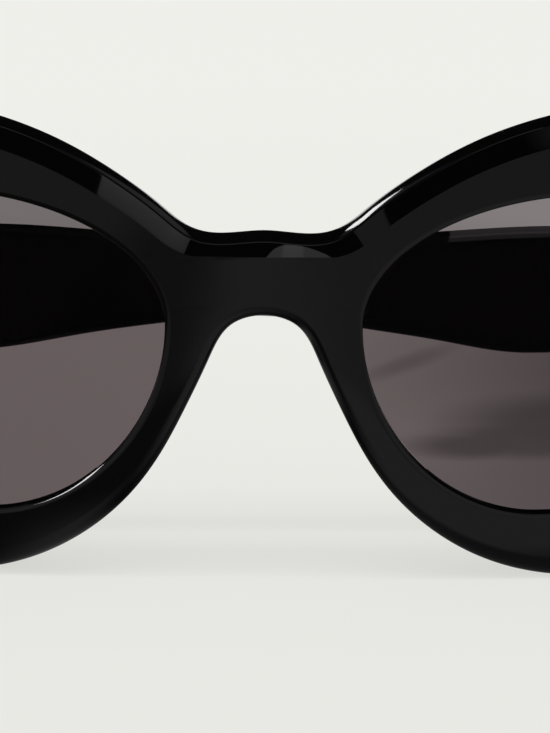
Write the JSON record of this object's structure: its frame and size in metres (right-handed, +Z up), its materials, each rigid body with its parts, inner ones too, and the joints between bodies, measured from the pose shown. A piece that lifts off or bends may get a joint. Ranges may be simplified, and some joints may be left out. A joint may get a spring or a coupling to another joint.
{
  "type": "oval sunglasses",
  "caption": "Thick glossy black sunglasses with oval tinted lenses, a low saddle bridge and temples folding on barrel hinges.",
  "frame": {"origin": "middle of the base: halfway between the front's two ends, halfway between the front face and the open temple's tip, on the ground under the rims and temple tips", "axes": "+X to the wearer's left, +Y from the front face back to the temple tips, +Z up"},
  "size_m": [0.1466, 0.1558, 0.0477],
  "materials": {
    "black_acetate": "polished black acetate",
    "smoke_lens": "warm grey smoke tint, polished",
    "hinge_metal": "fine brushed"
  },
  "bodies": {
    "front": {"front_frame": "black_acetate", "lens_left": "smoke_lens", "nose_pad_left": "black_acetate", "front_leaf_left": "hinge_metal", "hinge_screw_left": "hinge_metal", "front_rivet_upper_left": "hinge_metal", "front_rivet_lower_left": "hinge_metal", "lens_right": "smoke_lens", "nose_pad_right": "black_acetate", "front_leaf_right": "hinge_metal", "hinge_screw_right": "hinge_metal", "front_rivet_upper_right": "hinge_metal", "front_rivet_lower_right": "hinge_metal"},
    "left_temple": {"temple_left": "black_acetate", "temple_leaf_left": "hinge_metal", "core_wire_left": "hinge_metal", "temple_rivet_front_left": "hinge_metal", "temple_rivet_rear_left": "hinge_metal"},
    "right_temple": {"temple_right": "black_acetate", "temple_leaf_right": "hinge_metal", "core_wire_right": "hinge_metal", "temple_rivet_front_right": "hinge_metal", "temple_rivet_rear_right": "hinge_metal"}
  },
  "joints": [
    {"name": "left_hinge", "type": "hinge", "parent": "front", "child": "left_temple", "pos_m": [0.066, -0.06021, 0.02619], "axis": [0, 0, 1], "range_deg": [-91.5, 0]},
    {"name": "right_hinge", "type": "hinge", "parent": "front", "child": "right_temple", "pos_m": [-0.066, -0.06021, 0.02619], "axis": [0, 0, -1], "range_deg": [0, 80]}
  ]
}
